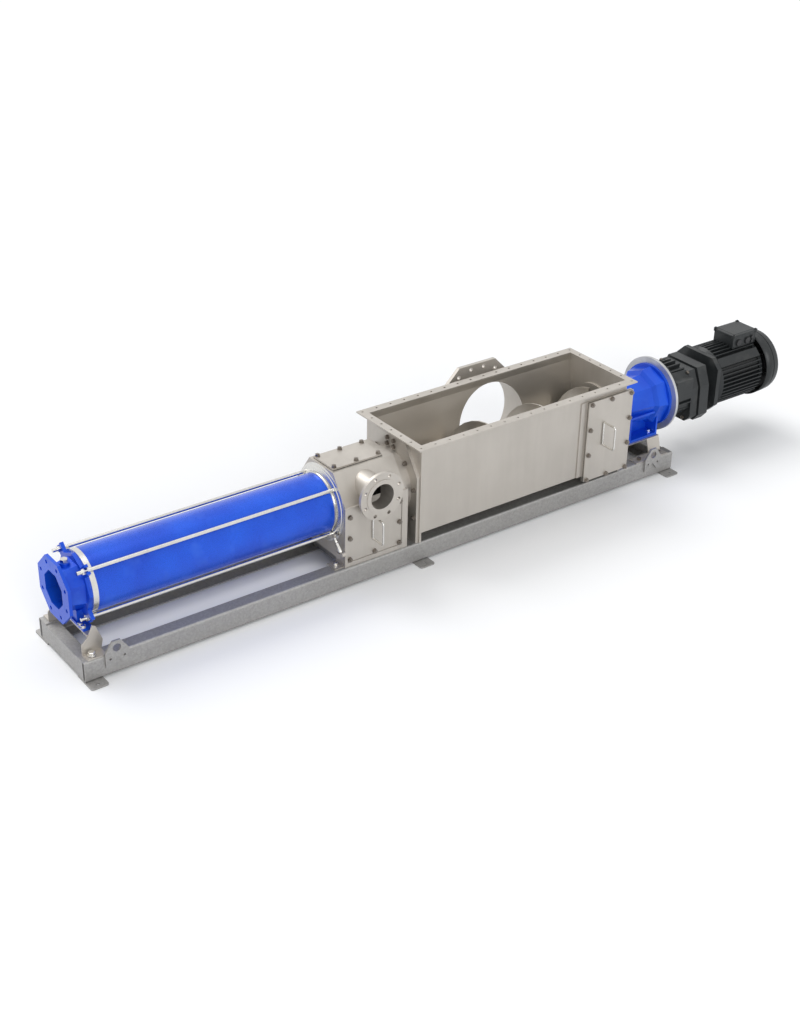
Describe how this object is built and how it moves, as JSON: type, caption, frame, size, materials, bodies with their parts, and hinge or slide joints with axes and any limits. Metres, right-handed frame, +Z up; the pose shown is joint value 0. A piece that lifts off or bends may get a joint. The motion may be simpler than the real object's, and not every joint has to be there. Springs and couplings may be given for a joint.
{
  "type": "progressive cavity pump",
  "caption": "Long industrial progressive cavity pump with an open auger hopper, joint chamber, clamped stator, flanged ports, geared motor and channel base frame",
  "frame": {"origin": "on the floor at the centre of the four corner holes of the foot plates", "axes": "+X along the pump from the outlet flange towards the motor, +Y to the side of the wide rear inlet, +Z up"},
  "size_m": [5.106, 0.782, 0.787],
  "materials": {
    "galvanised_steel": "hot-dip galvanised, dull with a fine crystal pattern",
    "blue_paint": "saturated blue enamel, half gloss",
    "stainless_steel": "bead-blasted and brushed stainless steel, warm grey",
    "bright_steel": "bright machined steel",
    "hard_chrome": "polished hard chrome",
    "black_rubber": "matt black rubber",
    "silver_casting": "silver machined casting",
    "dark_grey_paint": "dark grey enamel on castings",
    "black_plastic": "matt black plastic"
  },
  "bodies": {
    "base": {"left_rail": "galvanised_steel", "right_rail": "galvanised_steel", "cross_members": "galvanised_steel", "foot_plates": "galvanised_steel", "lifting_lugs": "galvanised_steel", "outlet_casing": "blue_paint", "outlet_plug": "bright_steel", "outlet_saddle": "stainless_steel", "drive_saddle": "stainless_steel", "stator_end_ring": "stainless_steel", "stator_tube": "blue_paint", "stator_lining": "black_rubber", "adaptor_ring": "stainless_steel", "tie_rods": "bright_steel", "tie_rod_nuts": "bright_steel", "chamber_housing": "stainless_steel", "side_port": "stainless_steel", "side_cover_frame": "stainless_steel", "side_cover": "stainless_steel", "side_cover_handle": "stainless_steel", "top_cover": "stainless_steel", "chamber_brackets": "stainless_steel", "chamber_stays": "stainless_steel", "joint_plate": "stainless_steel", "frame_bolts": "bright_steel", "hopper_trough": "stainless_steel", "hopper_end_walls": "stainless_steel", "hopper_flange": "stainless_steel", "front_skirt": "stainless_steel", "rear_skirt": "stainless_steel", "rear_inlet": "stainless_steel", "inspection_port": "stainless_steel", "inspection_cover": "stainless_steel", "inspection_handle": "stainless_steel", "cover_gaskets": "black_rubber", "cover_nuts": "bright_steel", "seal_housing": "stainless_steel", "lantern": "blue_paint", "shaft_bearings": "bright_steel", "adapter_ring": "silver_casting", "gearbox_housing": "dark_grey_paint", "gearbox_cover": "dark_grey_paint", "motor_adapter": "dark_grey_paint", "motor_front_shield": "dark_grey_paint", "motor_frame": "dark_grey_paint", "motor_rear_shield": "dark_grey_paint", "fan_cowl": "dark_grey_paint", "terminal_box": "dark_grey_paint", "terminal_box_lid": "dark_grey_paint", "blanking_plugs": "black_plastic"},
    "drive": {"auger": "stainless_steel", "drive_shaft": "bright_steel", "drive_joint_sleeve": "black_rubber"},
    "orbit": {"rotor_joint_sleeve": "black_rubber"},
    "rotor": {"rotor": "hard_chrome"},
    "rod": {"coupling_rod": "bright_steel"},
    "motor": {"motor_shaft": "bright_steel", "fan": "black_plastic"}
  },
  "joints": [
    {"name": "drive_spin", "type": "hinge", "parent": "base", "child": "drive", "pos_m": [0, 0, 0.434], "axis": [1, 0, 0], "continuous": true},
    {"name": "rotor_orbit", "type": "hinge", "parent": "base", "child": "orbit", "pos_m": [-0.4, 0, 0.434], "axis": [1, 0, 0], "continuous": true},
    {"name": "rotor_spin", "type": "hinge", "parent": "orbit", "child": "rotor", "pos_m": [-1, 0, 0.456], "axis": [1, 0, 0], "continuous": true},
    {"name": "rod_spin", "type": "hinge", "parent": "orbit", "child": "rod", "pos_m": [-0.074, 0, 0.434], "axis": [0.9977, 0, -0.0682], "continuous": true},
    {"name": "motor_spin", "type": "hinge", "parent": "base", "child": "motor", "pos_m": [2.7, 0, 0.434], "axis": [1, 0, 0], "continuous": true}
  ],
  "couplings": [
    {"joint": "rotor_orbit", "follows": "drive_spin", "ratio": -1},
    {"joint": "rotor_spin", "follows": "drive_spin", "ratio": 2},
    {"joint": "rod_spin", "follows": "drive_spin", "ratio": 2},
    {"joint": "motor_spin", "follows": "drive_spin", "ratio": 8}
  ]
}
